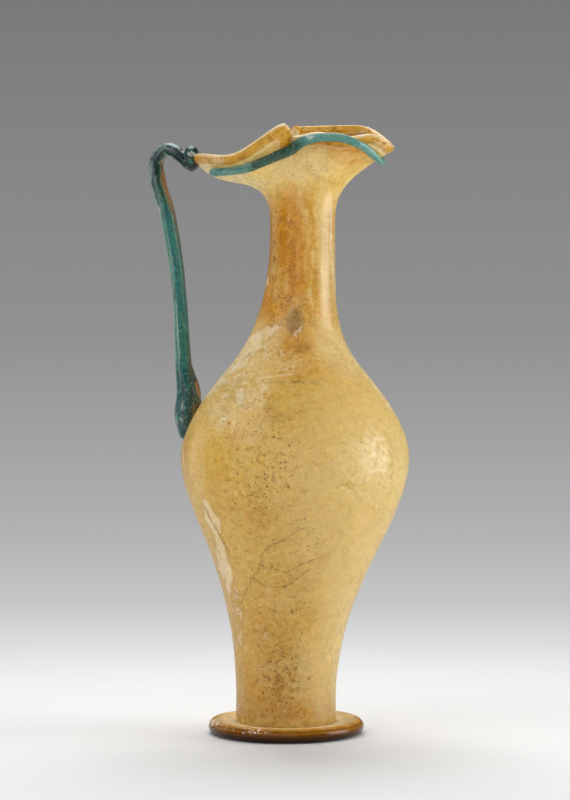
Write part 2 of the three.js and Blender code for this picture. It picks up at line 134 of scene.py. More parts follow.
class Finish:
    """A material, or the world, built from nodes."""

    def __init__(self, tree):
        self.tree = tree
        tree.nodes.clear()

    def node(self, kind, settings, values, output=0):
        made = self.tree.nodes.new(kind)
        for name, value in settings.items():
            if name == "stops":
                ramp = made.color_ramp
                while len(ramp.elements) < len(value):
                    ramp.elements.new(0.5)
                for element, (place, colour) in zip(ramp.elements, value):
                    element.position = place
                    element.color = colour
            else:
                setattr(made, name, value)
        for name, value in values.items():
            if isinstance(value, Signal):
                self.tree.links.new(value.socket, made.inputs[name])
            else:
                made.inputs[name].default_value = value
        return Signal(self, made.outputs[output]) if len(made.outputs) else None

    def sum(self, operation, first, second):
        return self.node("ShaderNodeMath", {"operation": operation}, {0: first, 1: second})

    def place(self):
        return self.node("ShaderNodeTexCoord", {}, {}, "Object")

    def stretched(self, place, scale):
        return self.node("ShaderNodeVectorMath", {"operation": "MULTIPLY"}, {0: place, 1: scale})

    def moved(self, place, offset):
        return self.node("ShaderNodeVectorMath", {"operation": "ADD"}, {0: place, 1: offset})

    def along(self, place, direction):
        settings = {"operation": "DOT_PRODUCT"}
        return self.node("ShaderNodeVectorMath", settings, {0: place, 1: direction}, "Value")

    def length(self, place):
        return self.node("ShaderNodeVectorMath", {"operation": "LENGTH"}, {0: place}, "Value")

    def part(self, place, axis):
        return self.node("ShaderNodeSeparateXYZ", {}, {0: place}, axis)

    def height(self, place):
        return self.part(place, "Z")

    def cloud(self, place, size, detail=4, roughness=0.55):
        values = {"Vector": place, "Scale": 1 / size, "Detail": detail, "Roughness": roughness}
        return self.node("ShaderNodeTexNoise", {}, values)

    def warped(self, place, size, amount):
        """The place pushed about by a cloud, so that a regular pattern wanders."""
        values = {"Vector": place, "Scale": 1 / size, "Detail": 2}
        colour = self.node("ShaderNodeTexNoise", {}, values, "Color")
        middle = self.moved(colour, (-0.5, -0.5, -0.5))
        push = self.stretched(middle, (amount, amount, amount))
        return self.moved(place, push)

    def cells(self, place, size, output="Distance"):
        values = {"Vector": place, "Scale": 1 / size}
        return self.node("ShaderNodeTexVoronoi", {}, values, output)

    def chance(self, place, size, which=0):
        """A random number for each cell, one of the three that a cell has."""
        colour = self.cells(place, size, "Color")
        return self.node("ShaderNodeSeparateColor", {}, {0: colour}, which)

    def rise(self, value, start, full):
        values = {"Value": value, "From Min": start, "From Max": full}
        return self.node("ShaderNodeMapRange", {"interpolation_type": "SMOOTHSTEP"}, values)

    def scaled(self, value, low, high, to_low, to_high):
        values = {
            "Value": value, "From Min": low, "From Max": high, "To Min": to_low, "To Max": to_high,
        }
        return self.node("ShaderNodeMapRange", {}, values)

    def ramp(self, value, stops):
        return self.node("ShaderNodeValToRGB", {"stops": stops}, {0: value})

    def blend(self, amount, under, over):
        values = {0: amount, 6: under, 7: over}
        return self.node("ShaderNodeMix", {"data_type": "RGBA"}, values, 2)

    def shade(self, colour, factor):
        """The colour made lighter or darker by a number."""
        return self.node("ShaderNodeVectorMath", {"operation": "SCALE"}, {0: colour, "Scale": factor})

    def painted(self, name, output="Fac"):
        return self.node("ShaderNodeAttribute", {"attribute_name": name}, {}, output)

    def mixed(self, amount, first, second):
        """Two surfaces, or two backgrounds, mixed."""
        return self.node("ShaderNodeMixShader", {}, {0: amount, 1: first, 2: second})

    def relief(self, height, distance):
        return self.node("ShaderNodeBump", {}, {"Height": height, "Distance": distance})


def new_finish(name):
    material = bpy.data.materials.new(name)
    material.use_nodes = True
    return material, Finish(material.node_tree)


def glass(finish, values):
    surface = finish.node("ShaderNodeBsdfPrincipled", {}, values)
    finish.node("ShaderNodeOutputMaterial", {}, {"Surface": surface})


# Mesh tools

def pick_only(piece):
    bpy.ops.object.select_all(action="DESELECT")
    piece.select_set(True)
    bpy.context.view_layer.objects.active = piece


def fresh_copy(node, name):
    """A copy of a CAD node with its loose triangles welded into a whole skin."""
    piece = bpy.data.objects.new(name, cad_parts[node].data.copy())
    bpy.context.scene.collection.objects.link(piece)
    piece.data.name = name
    piece.data.materials.clear()
    pick_only(piece)
    bpy.ops.mesh.customdata_custom_splitnormals_clear()
    bpy.ops.object.mode_set(mode="EDIT")
    bpy.ops.mesh.select_all(action="SELECT")
    bpy.ops.mesh.remove_doubles(threshold=WELD)
    bpy.ops.mesh.normals_make_consistent(inside=False)
    bpy.ops.object.mode_set(mode="OBJECT")
    return piece


def quads(piece):
    """Joins the triangles in pairs, so that the piece subdivides evenly."""
    pick_only(piece)
    bpy.ops.object.mode_set(mode="EDIT")
    bpy.ops.mesh.select_all(action="SELECT")
    bpy.ops.mesh.tris_convert_to_quads()
    bpy.ops.object.mode_set(mode="OBJECT")


def apply_modifier(piece, kind, settings):
    pick_only(piece)
    modifier = piece.modifiers.new(kind.lower(), kind)
    for name, value in settings.items():
        setattr(modifier, name, value)
    bpy.ops.object.modifier_apply(modifier=modifier.name)


def subdivide(piece, levels):
    apply_modifier(piece, "SUBSURF", {"levels": levels, "render_levels": levels})


def corners(piece):
    places = np.empty(len(piece.data.vertices) * 3)
    piece.data.vertices.foreach_get("co", places)
    return places.reshape(-1, 3)


def put_corners(piece, places):
    piece.data.vertices.foreach_set("co", places.ravel())
    piece.data.update()


def facings(piece):
    normals = np.empty(len(piece.data.vertices) * 3)
    piece.data.vertices.foreach_get("normal", normals)
    return normals.reshape(-1, 3)


def skin_tree(piece):
    bpy.context.view_layer.update()
    return BVHTree.FromObject(piece, bpy.context.evaluated_depsgraph_get())


def swell(piece, layers):
    """Hand-made unevenness: each layer is the size of its waves and how far they push the skin."""
    places = corners(piece)
    normals = facings(piece)
    pushes = np.zeros(len(places))
    for size, depth in layers:
        for index, place in enumerate(places):
            pushes[index] += depth * noise.noise(Vector(place) / size)
    put_corners(piece, places + normals * pushes[:, None])


def seat(piece, tree, sink=SEAT_SINK):
    """Presses what lies close to the body into its surface, as hot glass takes hold of it."""
    places = corners(piece)
    for index, place in enumerate(places):
        found, normal, _, gap = tree.find_nearest(Vector(place), SEAT_REACH)
        if found is None or (Vector(place) - found).dot(normal) < 0:
            continue
        share = 1 - gap / SEAT_REACH
        places[index] = Vector(place) - normal * sink * min(1, SEAT_EASE * share)
    put_corners(piece, places)


def keep_in_box(piece, node):
    low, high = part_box(node)
    put_corners(piece, np.clip(corners(piece), np.array(low), np.array(high)))


def smooth(piece):
    pick_only(piece)
    bpy.ops.object.shade_smooth()


# Weathering maps and maps of painted light and shade, painted where the photograph shows each mark

def picture_places(places):
    """Where points show in the picture, as column and row, and how far they lie beyond the axis."""
    seen = places - np.array(CAMERA_PLACE)
    distance = seen @ np.array(SIGHT)
    column = PHOTO_WIDE / 2 + PIXELS_PER_SLOPE * (seen @ np.array(RIGHTWARD)) / distance
    row = PHOTO_TALL / 2 - PIXELS_PER_SLOPE * (seen @ np.array(SIGHT_UP)) / distance
    return column, row, places @ np.array(AWAY)


def smoothstep(values):
    values = np.clip(values, 0, 1)
    return values * values * (3 - 2 * values)


def store(piece, name, values):
    layer = piece.data.attributes.new(name, "FLOAT", "POINT")
    layer.data.foreach_set("value", values)


def store_vector(piece, name, values):
    layer = piece.data.attributes.new(name, "FLOAT_VECTOR", "POINT")
    layer.data.foreach_set("vector", values.ravel())


def paint(piece, name, marks, near_side=NEAR_SIDE):
    """Each mark is its words, column, row, half width, half height, turn and strength.

    The far side isn't in the picture, and is taken to be marked like the near one, its painted light
    and shade too.
    """
    column, row, depth = picture_places(corners(piece))
    total = np.zeros(len(column))
    for _, middle, level, half_wide, half_tall, turn, strength in marks:
        right = column - middle
        down = row - level
        turn = math.radians(turn)
        across = (right * math.cos(turn) + down * math.sin(turn)) / half_wide
        along = (down * math.cos(turn) - right * math.sin(turn)) / half_tall
        reach = np.hypot(across, along)
        total = np.maximum(total, strength * smoothstep(MARK_FADE - reach))
    store(piece, name, np.where(depth < near_side, total, total * FAR_SHARE))


def paint_lines(piece, name, lines):
    """Drawn lines, kept as the distance to each side of them and how much of the line is there."""
    column, row, depth = picture_places(corners(piece))
    nearest = np.full(len(column), np.inf)
    side = np.zeros(len(column))
    there = np.zeros(len(column))
    for _, points in lines:
        for step in range(len(points) - 1):
            start = np.array(points[step], float)
            run = np.array(points[step + 1], float) - start
            length = np.hypot(*run)
            right = column - start[0]
            down = row - start[1]
            share = (right * run[0] + down * run[1]) / length ** 2
            held = np.clip(share, 0, 1)
            gap = np.hypot(right - held * run[0], down - held * run[1])
            past = np.zeros(len(column))
            if step == 0:
                past = np.maximum(past, -share * length)
            if step == len(points) - 2:
                past = np.maximum(past, (share - 1) * length)
            closer = gap < nearest
            nearest = np.where(closer, gap, nearest)
            side = np.where(closer, np.sign(run[0] * down - run[1] * right) * gap, side)
            there = np.where(closer, 1 - smoothstep(past / LINE_END_FADE), there)
    there = there * (1 - smoothstep((nearest - LINE_REACH) / LINE_SIDE_FADE))
    there = np.where(depth < NEAR_SIDE, there, 0)
    store_vector(piece, name, np.stack([side, there, np.zeros(len(side))], axis=1))


# The body

body = fresh_copy("vessel_body", "blown_body")
quads(body)
subdivide(body, 2)
swell(body, [(0.022, 0.00016), (0.007, 0.00006)])
keep_in_box(body, "vessel_body")
smooth(body)
body_tree = skin_tree(body)

# Which way each point faces from the jug's own leaning axis
FLARE_LEVEL = 0.2
FLARE_BLEND = 0.008
LEAN_LEVELS = (0, 0.02, 0.092, 0.146, 0.196, 0.25)
LEAN_STEPS = (0, 0, 0.0036, 0.0036, 0.0068, 0.0068)
places = corners(body)
normals = facings(body)
from_axis = places[:, :2].copy()
from_axis[:, 0] -= np.interp(places[:, 2], LEAN_LEVELS, LEAN_STEPS)
from_axis /= np.linalg.norm(from_axis, axis=1)[:, None] + WELD
outward = (from_axis * normals[:, :2]).sum(axis=1)
outward -= normals[:, 2] * smoothstep((places[:, 2] - FLARE_LEVEL) / FLARE_BLEND)
store(body, "inner_skin", 1 - smoothstep(outward * 4 + 0.5))

# How far each point lies from the crest of the lip, where the outer skin meets the inner one
CREST_LEVEL = 0.214
CREST_OUTWARD = 0.18
GROUP_SIZE = 2000
crest = places[(places[:, 2] > CREST_LEVEL) & (np.abs(outward) < CREST_OUTWARD)]
from_crest = np.empty(len(places))
for start in range(0, len(places), GROUP_SIZE):
    group = slice(start, start + GROUP_SIZE)
    gaps = np.linalg.norm(places[group, None, :] - crest[None, :, :], axis=2)
    from_crest[group] = gaps.min(axis=1)
store(body, "from_crest", from_crest)

# Pale crust, and painted rim highlight where the marks run along the outline: the shoulder, belly and
# stem edges
paint(body, "pale_crust", [
    ("left shoulder edge", 258, 300, 4, 36, 26, 0.85),
    ("shoulder streak", 268, 334, 5, 16, 50, 1.1),
    ("left shoulder below the neck", 250, 346, 9, 28, 48, 1.1),
    ("shoulder by the first fleck", 236, 364, 8, 22, 50, 1),
    ("shoulder patch", 262, 352, 14, 6, -24, 0.55),
    ("white fleck over the pad", 240, 396, 5, 9, 10, 1.5),
    ("small white fleck", 247, 405, 9, 3, 8, 0.55),
    ("left belly edge", 184, 440, 5, 50, -4, 0.7),
    ("left side patch", 224, 566, 7, 32, -14, 1.1),
    ("left stem patch", 212, 520, 7, 24, -20, 1.1),
    ("left stem lower", 237, 612, 5, 36, -6, 0.8),
    ("left stem foot", 240, 690, 5, 40, 0, 0.5),
    ("right shoulder edge", 375, 350, 5, 46, -36, 0.75),
    ("right side patch", 393, 534, 9, 44, 22, 0.95),
    ("right stem edge", 352, 620, 4, 60, 12, 0.5),
    ("fleck under the blotch", 297, 332, 3, 7, 38, 0.8),
    ("left of the blotch", 284, 326, 6, 3, 0, 0.6),
    ("right of the blotch", 311, 326, 5, 3, 0, 0.5),
    ("pale patch on the stem", 264, 640, 12, 9, 0, 0.7),
    ("pale ring over the foot", 270, 712, 60, 6, 2, 0.5),
    ("below the trail's end", 240, 180, 34, 8, 8, 0.9),
    ("beside the thumb-rest", 206, 168, 8, 8, 0, 1),
    ("left end of the lip", 214, 160, 14, 6, 4, 1),
    ("spout's lip", 378, 146, 14, 7, 20, 0.9),
    ("left shoulder", 228, 388, 12, 20, 46, 0.7),
    ("lip by the pinch", 322, 129, 16, 4, 0, 0.5),
    ("shoulder by the pad", 214, 384, 6, 26, 46, 1),
])
# Brown stains, and painted shade across the belly and the stem
paint(body, "stain", [
    ("blotch on the neck", 295, 322, 11, 16, 0, 0.9),
    ("foot of the blotch", 302, 348, 12, 8, 0, 0.7),
    ("left edge of the neck", 262, 264, 5, 34, 3, 1.1),
    ("left edge lower", 257, 306, 4, 22, 16, 0.9),
    ("speckles in the middle of the neck", 272, 250, 12, 26, 0, 0.5),
    ("dark streak on the shoulder", 295, 382, 34, 3, 3, 0.75),
    ("second streak", 330, 366, 30, 2.5, 6, 0.55),
    ("third streak", 270, 401, 26, 3, -8, 0.5),
    ("brown patch on the shoulder", 274, 420, 26, 7, -20, 0.6),
    # The belly and stem shades are painted shade
    ("belly shade", 262, 500, 40, 20, -8, 0.15),
    ("brown fleck on the right", 346, 552, 5, 5, 0, 0.6),
    ("stem shade", 285, 585, 40, 12, 0, 0.3),
    ("over the foot", 240, 705, 10, 12, 0, 0.5),
])
# Deeper amber glass, with painted shade under the lobe and along under the trail
paint(body, "deep", [
    ("neck, upper middle", 290, 232, 15, 46, 0, 0.75),
    ("neck, middle", 294, 262, 13, 40, 0, 0.8),
    ("neck, left edge", 268, 265, 5, 60, 3, 0.7),
    ("neck, lower left", 276, 306, 16, 28, 8, 0.55),
    ("neck foot", 296, 346, 20, 18, -10, 0.5),
    ("stem foot", 284, 712, 36, 9, 0, 0.45),
    ("stem, lower left", 262, 680, 18, 36, 0, 0.3),
    ("shoulder band", 300, 372, 40, 8, -4, 0.3),
    # The next two marks paint the shadow under the lobe and under the trail
    ("under the lobe", 350, 156, 20, 12, 10, 0.4),
    ("along the trail", 338, 147, 40, 3, 10, 1),
    ("neck, top", 294, 202, 18, 10, 0, 0.6),
    ("lobe", 282, 140, 10, 12, -30, 0.5),
])
paint(body, "pits", [
    ("belly, upper left", 262, 470, 36, 50, 0, 0.7),
    ("belly, thick of it", 258, 488, 14, 26, 0, 0.85),
    ("belly, middle", 280, 545, 46, 46, 0, 0.4),
    ("left shoulder", 255, 420, 40, 20, 0, 0.3),
    ("stem", 272, 600, 40, 40, 0, 0.45),
    ("stem, thick of it", 282, 676, 26, 42, -6, 1),
    ("stem foot", 276, 715, 30, 16, 0, 0.6),
    ("neck, upper left", 280, 222, 18, 14, 0, 0.8),
    ("neck, middle left", 280, 256, 18, 34, 0, 0.8),
    ("neck, lower left", 284, 304, 16, 24, 0, 0.6),
    ("lobe", 240, 172, 20, 16, 0, 0.35),
])
# Glittering flakes, with painted glints among them
paint(body, "glitter", [
    ("upper left shoulder", 246, 386, 26, 22, -30, 0.95),
    ("shoulder by the pad", 226, 412, 20, 22, 0, 0.7),
    ("neck foot", 275, 362, 40, 14, 0, 0.5),
    ("stem foot", 268, 668, 20, 12, 0, 0.4),
    ("under the pinch", 298, 166, 34, 18, 0, 0.6),
])
# Painted light: the pale glow and highlights on the right side and neck, and lightening where the pad
# and the trail shade the glass
paint(body, "glow", [
    ("right belly", 368, 462, 40, 46, 12, 1),
    ("right neck", 325, 250, 8, 76, -2, 0.6),
    ("right shoulder", 338, 352, 16, 34, -36, 0.8),
    ("beside the neck's foot", 328, 344, 12, 18, -30, 1),
    ("right side", 350, 490, 60, 110, 10, 0.5),
    ("right stem", 336, 620, 18, 90, 8, 0.65),
    ("middle of the stem", 306, 668, 10, 26, 0, 0.6),
    ("left shoulder", 236, 382, 32, 22, -46, 1.3),
    ("left of the neck's foot", 260, 340, 12, 24, 40, 1),
    ("under the trail", 296, 168, 34, 16, 0, 0.6),
    ("below the trail's end", 240, 180, 40, 9, 8, 1),
    ("under the lip's left", 226, 160, 26, 6, 4, 0.6),
])
paint_lines(body, "upper_lines", [
    ("from the belly down to the stem", [
        (303, 528), (294, 533), (284, 540), (274, 544), (266, 549), (261, 556), (261, 564),
        (258, 572), (254, 578),
    ]),
    ("loop on the stem", [
        (330, 554), (318, 558), (304, 563), (294, 569), (287, 572), (278, 570), (268, 568),
        (258, 571), (252, 575),
    ]),
])
paint_lines(body, "lower_lines", [
    ("wandering line", [
        (308, 570), (298, 578), (288, 585), (280, 588), (270, 587), (260, 584), (254, 578),
        (249, 578), (251, 584), (246, 590), (243, 598), (240, 606), (234, 607),
    ]),
    ("left edge line", [
        (203, 505), (208, 514), (213, 524), (219, 534), (225, 545), (230, 552),
    ]),
])
paint_lines(body, "pale_lines", [
    ("along the shoulder's edge", [(206, 398), (222, 381), (240, 364), (256, 352), (271, 341)]),
    ("inside the edge", [(222, 388), (236, 377), (248, 369), (266, 357)]),
    ("over the white fleck", [(236, 384), (250, 380), (268, 377), (292, 374)]),
    ("right shoulder", [(344, 348), (357, 363), (368, 377), (379, 392), (390, 409)]),
    # This line paints a highlight streak down the neck's right edge
    ("neck, right edge", [(331, 205), (331, 240), (334, 282), (341, 312)]),
])
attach(body, "root")
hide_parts("vessel_body")

# The foot

foot = fresh_copy("foot_pad", "pad_foot")
quads(foot)
subdivide(foot, 2)
swell(foot, [(0.016, 0.00014), (0.005, 0.00005)])
seat(foot, body_tree)
keep_in_box(foot, "foot_pad")
smooth(foot)
paint(foot, "glints", [
    ("under the stem", 252, 730, 16, 4, 4, 0.8),
    ("along the left", 236, 727, 12, 4, 10, 0.5),
], near_side=NEAR_SIDE_SMALL)
paint(foot, "pale_crust", [
    ("left of the top", 222, 708, 12, 4, 10, 0.8),
    ("front left edge", 213, 722, 12, 5, 10, 0.7),
    ("lower left edge", 220, 737, 12, 3, 14, 0.5),
], near_side=NEAR_SIDE_SMALL)
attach(foot, "root")
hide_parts("foot_pad")

# The handle

handle = fresh_copy("handle", "ribbed_handle")
apply_modifier(handle, "REMESH", {"mode": "VOXEL", "voxel_size": 0.00036})
apply_modifier(handle, "SMOOTH", {"factor": 0.5, "iterations": 2})
swell(handle, [(0.009, 0.00018), (0.0022, 0.0001)])
seat(handle, body_tree)
keep_in_box(handle, "handle")
smooth(handle)

# The handle's centre line in its own plane, from the pad to the end of the loop
STRAP_LINE = [
    (-0.041, 0.1195), (-0.0408, 0.127), (-0.040, 0.136), (-0.0419, 0.147), (-0.0428, 0.165),
    (-0.0446, 0.186), (-0.0482, 0.207), (-0.0522, 0.221), (-0.053, 0.229), (-0.049, 0.2332),
    (-0.045, 0.2318), (-0.040, 0.2276),
]

# Where each point of the handle lies by that line: out from it, across the strap and along it
places = corners(handle)
reach = np.full(len(places), np.inf)
offset = np.zeros(len(places))
travel = np.zeros(len(places))
walked = 0
for start, end in zip(STRAP_LINE, STRAP_LINE[1:]):
    run = np.array(end) - np.array(start)
    length = np.hypot(*run)
    across = places[:, 0] - start[0]
    up = places[:, 2] - start[1]
    share = np.clip((across * run[0] + up * run[1]) / length ** 2, 0, 1)
    gap = np.hypot(across - share * run[0], up - share * run[1])
    closer = gap < reach
    reach = np.where(closer, gap, reach)
    offset = np.where(closer, (run[0] * up - run[1] * across) / length, offset)
    travel = np.where(closer, walked + share * length, travel)
    walked = walked + length
store_vector(handle, "strap_place", np.stack([offset, places[:, 1], travel], axis=1))
paint(handle, "pale_crust", [
    ("outside of the loop", 150, 178, 2.5, 26, 8, 0.7),
    ("top of the loop", 160, 148, 10, 3, -20, 0.8),
    ("loop shoulder", 178, 150, 9, 3.5, 20, 0.8),
    # The knob's top mark is a painted highlight
    ("knob top", 194, 154, 8, 3.5, 0, 0.9),
    ("strap, upper left", 158, 235, 3, 50, 4, 0.8),
    ("strap, lower left", 172, 320, 2.5, 60, 4, 0.6),
    ("pad scratches", 184, 405, 4, 6, 30, 0.7),
    ("pad foot", 181, 422, 5, 5, 0, 0.7),
], near_side=NEAR_SIDE_SMALL)
paint(handle, "brown_glow", [
    ("inner side of the loop", 169, 174, 3.5, 18, 4, 1),
    ("knob right", 205, 166, 4, 8, 0, 0.9),
    ("flange of the pad", 200, 390, 4, 12, -14, 0.9),
    ("pad edge", 195, 408, 2.5, 14, 12, 0.5),
], near_side=NEAR_SIDE_SMALL)
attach(handle, "root")
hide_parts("handle")

# The trail

trail = fresh_copy("rim_trail", "laid_trail")
quads(trail)
subdivide(trail, 2)
swell(trail, [(0.006, 0.00016), (0.002, 0.00006)])
seat(trail, body_tree, TRAIL_SINK)
keep_in_box(trail, "rim_trail")
smooth(trail)
paint(trail, "pale_crust", [
    ("left end", 222, 184, 14, 6, -4, 0.9),
    ("patch at the pinch", 310, 135, 6, 5, -10, 1.25),
    ("toward the spout", 372, 150, 10, 4, 20, 0.35),
], near_side=NEAR_SIDE_SMALL)
# Painted shade in the hollow under the lobe
paint(trail, "hollow", [
    ("in the hollow", 276, 156, 30, 12, -30, 1),
    ("upper edge at the left", 232, 168, 20, 3, -4, 0.5),
], near_side=NEAR_SIDE_SMALL)
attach(trail, "root")
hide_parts("rim_trail")


# Finish of the body: honey glass, clouded, flaking and pitted outside, with painted light and shade

def pit_mask(f, place):
    """Dark specks of four sizes, and wormy seams where they crowd together."""
    pitted = f.painted("pits")
    pit_place = f.warped(place, 0.0014, 0.0011)
    pits = 0
    for size, share in ((0.0008, 0.6), (0.0011, 0.6), (0.0016, 0.5), (0.0027, 0.14)):
        width = f.scaled(f.chance(pit_place, size, 1), 0, 1, 0.1, 0.42)
        here = f.rise(pitted * share - f.chance(pit_place, size), 0, 0.05)
        pits = f.sum("MAXIMUM", pits, f.rise(width - f.cells(pit_place, size), 0, 0.12) * here)
    seams = f.rise(f.cloud(pit_place, 0.0019, 3, 0.6), 0.54, 0.6) * f.rise(pitted, 0.7, 1)
    return f.sum("MAXIMUM", pits, seams)


def bubble_mask(f, place):
    """Bubbles in the glass, each seen as a thin ring."""
    bubble_place = f.warped(place, 0.003, 0.0006)
    ring = f.rise(abs(f.cells(bubble_place, 0.0042) - 0.27), 0.06, 0.015)
    return ring * f.rise(f.chance(bubble_place, 0.0042), 0.9, 0.91)


def line_masks(f, name, jitter, edge, core):
    """How close a painted line runs, and how much of it is there."""
    line = f.painted(name, "Vector")
    return f.rise(abs(f.part(line, "X") + jitter), edge, core), f.part(line, "Y")


def brown_lines(f, jitter):
    lines = 0
    for name in ("upper_lines", "lower_lines"):
        close, there = line_masks(f, name, jitter, 0.9, 0.2)
        lines = lines + close * f.rise(there, 0.5, 0.9)
    return lines


def body_marks(f):
    """The clouds and painted marks that the layers of the body's glass share."""
    m = SimpleNamespace(place=f.place())
    m.wander = f.warped(m.place, 0.02, 0.006)
    m.height = f.height(m.place)
    m.middle = f.cloud(m.wander, 0.011, 5, 0.62)
    m.fine = f.cloud(m.place, 0.0018, 4, 0.7)
    m.ragged = f.cloud(m.place, 0.0045, 5, 0.7)
    m.flakes = f.cloud(f.stretched(f.warped(m.place, 0.004, 0.002), (1, 1, 1.5)), 0.0034, 6, 0.7)
    m.spark_place = f.warped(f.stretched(m.place, (1, 1, 1.5)), 0.001, 0.0008)

    m.glow = f.painted("glow")
    m.deep = f.rise(f.painted("deep") + (m.middle - 0.5) * 0.6, 0.05, 0.9)
    m.glitter = f.rise(f.painted("glitter") + (m.middle - 0.5) * 1.2, 0.15, 0.85)
    m.unlit = 1 - f.sum("MAXIMUM", m.glow * 0.75, f.rise(m.height, 0.198, 0.208) * 0.7)
    m.stain = f.rise(f.painted("stain") + (m.ragged - 0.5) * 0.9, 0.3, 0.95)

    m.crust_cloud = f.cloud(f.stretched(m.wander, (1, 1, 0.5)), 0.0036, 6, 0.7)
    crust_here = f.painted("pale_crust") * 0.85 + (m.crust_cloud - 0.5) * 2.4
    broken = f.scaled(f.cloud(m.wander, 0.0013, 4, 0.7), 0.35, 0.6, 0.55, 1)
    m.crust = f.rise(crust_here, 0.5, 0.9) * broken
    m.chipped = f.rise(crust_here, 0.3, 0.48) * (1 - m.crust)

    m.pits = pit_mask(f, m.place)
    m.jitter = (f.cloud(m.place, 0.0024, 3) - 0.5) * 4
    m.lines = brown_lines(f, m.jitter)
    m.crest = f.painted("from_crest") + (f.cloud(m.place, 0.003, 4) - 0.5) * 0.0014
    m.lip = f.rise(m.crest, 0.0044, 0.0034)
    return m


def ground(f, m):
    """Honey glass by height, broad clouds, rings from the blowing, painted light and deep amber with
    painted shade.
    """
    base = f.ramp(f.scaled(m.height, 0, 0.244, 0, 1), [
        (0.02, tone(190, 142, 44)),
        (0.10, tone(208, 164, 62)),
        (0.30, tone(222, 188, 96)),
        (0.47, tone(230, 192, 88)),
        (0.60, tone(224, 188, 100)),
        (0.70, tone(206, 150, 46)),
        (0.84, tone(206, 150, 38)),
        (0.90, tone(228, 190, 92)),
        (1.00, tone(232, 196, 110)),
    ])
    large = f.cloud(m.wander, 0.034, 3)
    base = f.blend(f.rise(large, 0.45, 0.7) * 0.55, base, tone(232, 200, 122))
    base = f.blend(f.rise(large, 0.5, 0.3) * 0.4, base, tone(196, 136, 48))
    base = f.blend(f.rise(m.middle, 0.52, 0.68) * 0.5, base, tone(182, 120, 30))
    base = f.blend(f.rise(m.middle, 0.48, 0.34) * 0.5, base, tone(240, 212, 146))
    rings = f.cloud(f.stretched(m.place, (1, 1, 6)), 0.016, 5)
    base = f.blend(f.rise(rings, 0.54, 0.7) * 0.3, base, tone(176, 116, 34))
    # Painted light: near-white where the glow and highlights are marked
    base = f.blend(m.glow * 0.7, base, tone(244, 236, 192))
    # Deep amber, with painted shade under the lobe and along the trail
    return f.blend(m.deep * 0.85, base, tone(222, 156, 16))


def flaked(f, m, base):
    """Bright flakes and brown seams between them, thickest on the shoulder, and upright streaks."""
    # A pale wash over the glittering shoulder, partly painted glint
    base = f.blend(m.glitter * 0.45, base, tone(244, 214, 156))
    share = 0.45 + m.glitter * 0.4 - m.deep * 0.2
    base = f.blend(f.rise(m.flakes, 0.53, 0.4) * m.deep * 0.45, base, tone(156, 94, 0))
    base = f.blend(f.rise(m.flakes, 0.52, 0.62) * share, base, tone(252, 234, 166))
    base = f.blend(f.rise(m.flakes, 0.47, 0.37) * share * m.unlit, base, tone(156, 96, 2))
    streaks = f.cloud(f.stretched(m.wander, (1, 1, 0.12)), 0.0022, 4, 0.6)
    share = f.rise(m.height, 0.15, 0.18) * (1 - m.deep * 0.75) * 0.5 + 0.15
    base = f.blend(f.rise(streaks, 0.52, 0.64) * share, base, tone(248, 224, 160))
    return f.blend(f.rise(streaks, 0.46, 0.34) * share * m.unlit, base, tone(158, 104, 14))


def grained(f, m, base):
    """A fine grain everywhere, and on the shoulder brown grains and bright ones that are painted
    glints.
    """
    base = f.shade(base, f.scaled(m.fine, 0.3, 0.7, 0.76, 1.2))
    base = f.shade(base, f.scaled(f.cloud(m.place, 0.0008, 2), 0.3, 0.7, 0.88, 1.12))
    grains = f.chance(m.spark_place, 0.0008)
    # Painted glints: the bright grains
    base = f.blend(f.rise(grains, 0.42, 0.9) * m.glitter, base, tone(255, 248, 212))
    return f.blend(f.rise(grains, 0.22, 0.04) * m.glitter * 0.6, base, tone(176, 116, 14))


def stained_and_shaded(f, m, base):
    """Brown mottles in the deep amber, and brown stains with painted shade across the belly and stem.
    """
    base = f.blend(f.rise(m.ragged, 0.52, 0.62) * m.deep * 0.6, base, tone(150, 94, 4))
    return f.blend(m.stain * 0.75, base, tone(124, 78, 36))


def crusted(f, m, base):
    """Pale crust with painted rim highlights along the outline, broken into flakes, brown where it has
    chipped off, and painted sparks of light.
    """
    base = f.blend(m.chipped * 0.4, base, tone(176, 122, 48))
    base = f.blend(m.crust * 0.8, base, tone(248, 228, 196))
    sparks = f.rise(f.chance(m.spark_place, 0.0006), 0.92, 0.95) * m.glitter
    return f.blend(sparks * 0.8, base, tone(255, 244, 200))


def pitted(f, m, base):
    base = f.blend(m.pits * 0.85, base, tone(138, 80, 4))
    return f.blend(bubble_mask(f, m.place) * 0.5, base, tone(150, 104, 30))


def lined(f, m, base):
    """Fine brown lines on the belly and stem, and pale broken ones by the shoulders and neck, the
    neck's a painted highlight streak.
    """
    base = f.blend(m.lines * 0.75, base, tone(120, 80, 30))
    close, there = line_masks(f, "pale_lines", m.jitter * 0.7, 2, 0.4)
    pale = close * there * f.rise(m.crust_cloud, 0.36, 0.56)
    return f.blend(pale * 0.75, base, tone(254, 244, 220))


def lipped(f, m, base):
    """The lip: deeper amber with dark and light specks, a pale crest that is partly painted highlight,
    and a pale line under it.
    """
    base = f.blend(m.lip * (1 - m.crust * 0.8) * 0.9, base, tone(208, 160, 28))
    base = f.blend(f.rise(m.flakes, 0.5, 0.38) * m.lip * 0.75, base, tone(132, 82, 4))
    grain = f.cloud(f.stretched(f.warped(m.place, 0.003, 0.002), (1, 1, 1.7)), 0.0014, 4, 0.65)
    base = f.blend(f.rise(grain, 0.52, 0.6) * m.lip * 0.5, base, tone(236, 200, 104))
    # Pale along the crest: worn rim and painted highlight together
    base = f.blend(f.rise(m.crest, 0.001, 0.0004) * 0.8, base, tone(244, 228, 184))
    under = f.rise(abs(m.crest - 0.0048), 0.0008, 0.0002)
    return f.blend(under * 0.7, base, tone(244, 224, 170))


